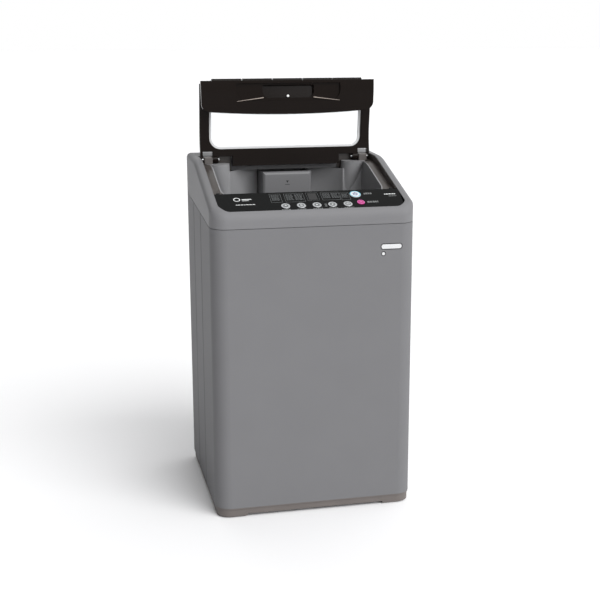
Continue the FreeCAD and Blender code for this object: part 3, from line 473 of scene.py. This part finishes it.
def rating_label():
    """A white data label with rows of plain dashes on the back panel."""
    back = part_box("back_panel")[1].y
    paper = bar(0, 0, 96, 62, PAPER)
    rows = text_rows(-42, 10, 24, 7, pitch=7, tall=2) + text_rows(18, 42, 24, 3, pitch=7, tall=2)
    rows += [bar(30, -16, 20, 18, PRINT)]
    facing_back = (math.radians(90), 0, math.radians(180))
    for part in rows:
        alone(part)
        settle(place=(0, 0, PAPER * MM))
    for part in [paper, *rows]:
        alone(part)
        settle(facing_back, (LABEL_X, back, LABEL_Z))
    joined("label_paper", [paper], WHITE_INK, "cabinet")
    joined("label_rows", rows, GREY_INK_AND_PAINTED_SHADE, "cabinet")


MARK_Z = 0.868
MARK_SUNK = 0.05


def drawer_mark():
    """A small downward arrow and a line, set a little into the drawer's front."""
    arrow = disc(0, 0, 4.6, 0.4, 0, 3, math.radians(180))
    line = bar(0, -9, 14, 1.4, 0.4)
    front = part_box("detergent_drawer")[0].y
    for part in (arrow, line):
        alone(part)
        settle((math.radians(90), 0, 0), (0, front + MARK_SUNK * MM, MARK_Z))
    joined("drawer_mark", [arrow, line], FINISHES["black_plastic"], "drawer")


RAMP_X, RAMP_Y, RAMP_Z = 0.110, 0.08195, 1.1035
RAMP_SIZE = (76, 5.1, 2.4)
RAMP_SLOPE = 4.8
RAMP_TAPER = 0.4


def handle_ramps():
    """Slim tapering facets that slope down to both sides of the lid's finger recess, in a light brown that is
    a painted highlight on the recess's glossy lip.
    """
    ramps = []
    for side in (-1, 1):
        alone()
        bpy.ops.mesh.primitive_cube_add(size=MM, location=(side * RAMP_X, RAMP_Y, RAMP_Z))
        bpy.context.object.scale = RAMP_SIZE
        ramp = settle()
        for end, shift, taper in ((side, -RAMP_SLOPE, RAMP_TAPER), (-side, RAMP_SLOPE, 1.0)):
            pick(ramp, "FACE", lambda face: face.normal.x * end > 0.9)
            bpy.ops.transform.translate(value=(0, 0, shift * MM))
            bpy.ops.transform.resize(value=(1, 1, taper))
            bpy.ops.object.mode_set(mode="OBJECT")
        ramps.append(ramp)
    joined("handle_ramps", ramps, HIGHLIGHT_BROWN, "front_leaf")


panel_prints()
key_faces()
handle_ramps()
front_badge()
rating_label()
drawer_mark()


# ------------------------------------------------------------------ stage


def studio_floor():
    """A wide pale floor under the machine."""
    bpy.ops.mesh.primitive_plane_add(size=400, location=(0, 0, 0))
    floor = bpy.context.object
    floor.name = "studio_floor"
    white = finish("floor_white", (246, 246, 247), (0.85, 0.95), vary=0.006, cloud=0.5, relief=0.0)
    floor.data.materials.append(white)


def studio_light():
    """A white sky that is dim on the machine's left, with one broad soft sun."""
    world = bpy.data.worlds.new("soft_studio")
    bpy.context.scene.world = world
    world.use_nodes = True
    nodes = world.node_tree.nodes
    links = world.node_tree.links
    place = nodes.new("ShaderNodeTexCoord")
    axes = nodes.new("ShaderNodeSeparateXYZ")
    falloff = nodes.new("ShaderNodeMapRange")
    falloff.interpolation_type = "SMOOTHSTEP"
    falloff.inputs["From Min"].default_value = -0.7
    falloff.inputs["From Max"].default_value = -0.1
    falloff.inputs["To Min"].default_value = 0.03
    falloff.inputs["To Max"].default_value = 1.0
    links.new(place.outputs["Generated"], axes.inputs["Vector"])
    links.new(axes.outputs["X"], falloff.inputs["Value"])
    links.new(falloff.outputs["Result"], nodes["Background"].inputs["Strength"])
    nodes["Background"].inputs["Color"].default_value = (1, 1, 1, 1)
    bpy.ops.object.light_add(type="SUN", rotation=(math.radians(52), 0, math.radians(30)))
    key = bpy.context.object
    key.data.energy = 2.3
    key.data.angle = math.radians(50)


def camera():
    """An eye a little left of and above the machine, looking slightly down."""
    yaw, pitch, roll = (math.radians(angle) for angle in (12.5527, -12.998, -0.1987))
    forward = Vector((math.sin(yaw) * math.cos(pitch), math.cos(yaw) * math.cos(pitch), math.sin(pitch)))
    level = Vector((math.cos(yaw), -math.sin(yaw), 0))
    above = level.cross(forward)
    right = math.cos(roll) * level + math.sin(roll) * above
    up = -math.sin(roll) * level + math.cos(roll) * above
    bpy.ops.object.camera_add()
    eye = bpy.context.object
    eye.matrix_world = Matrix.Translation((-0.662541, -3.031554, 1.255789)) @ Matrix(
        (right, up, -forward)).transposed().to_4x4()
    eye.data.lens = 66.67
    eye.data.sensor_width = 36
    bpy.context.scene.camera = eye


studio_floor()
studio_light()
camera()
bpy.context.scene.view_settings.view_transform = "Standard"
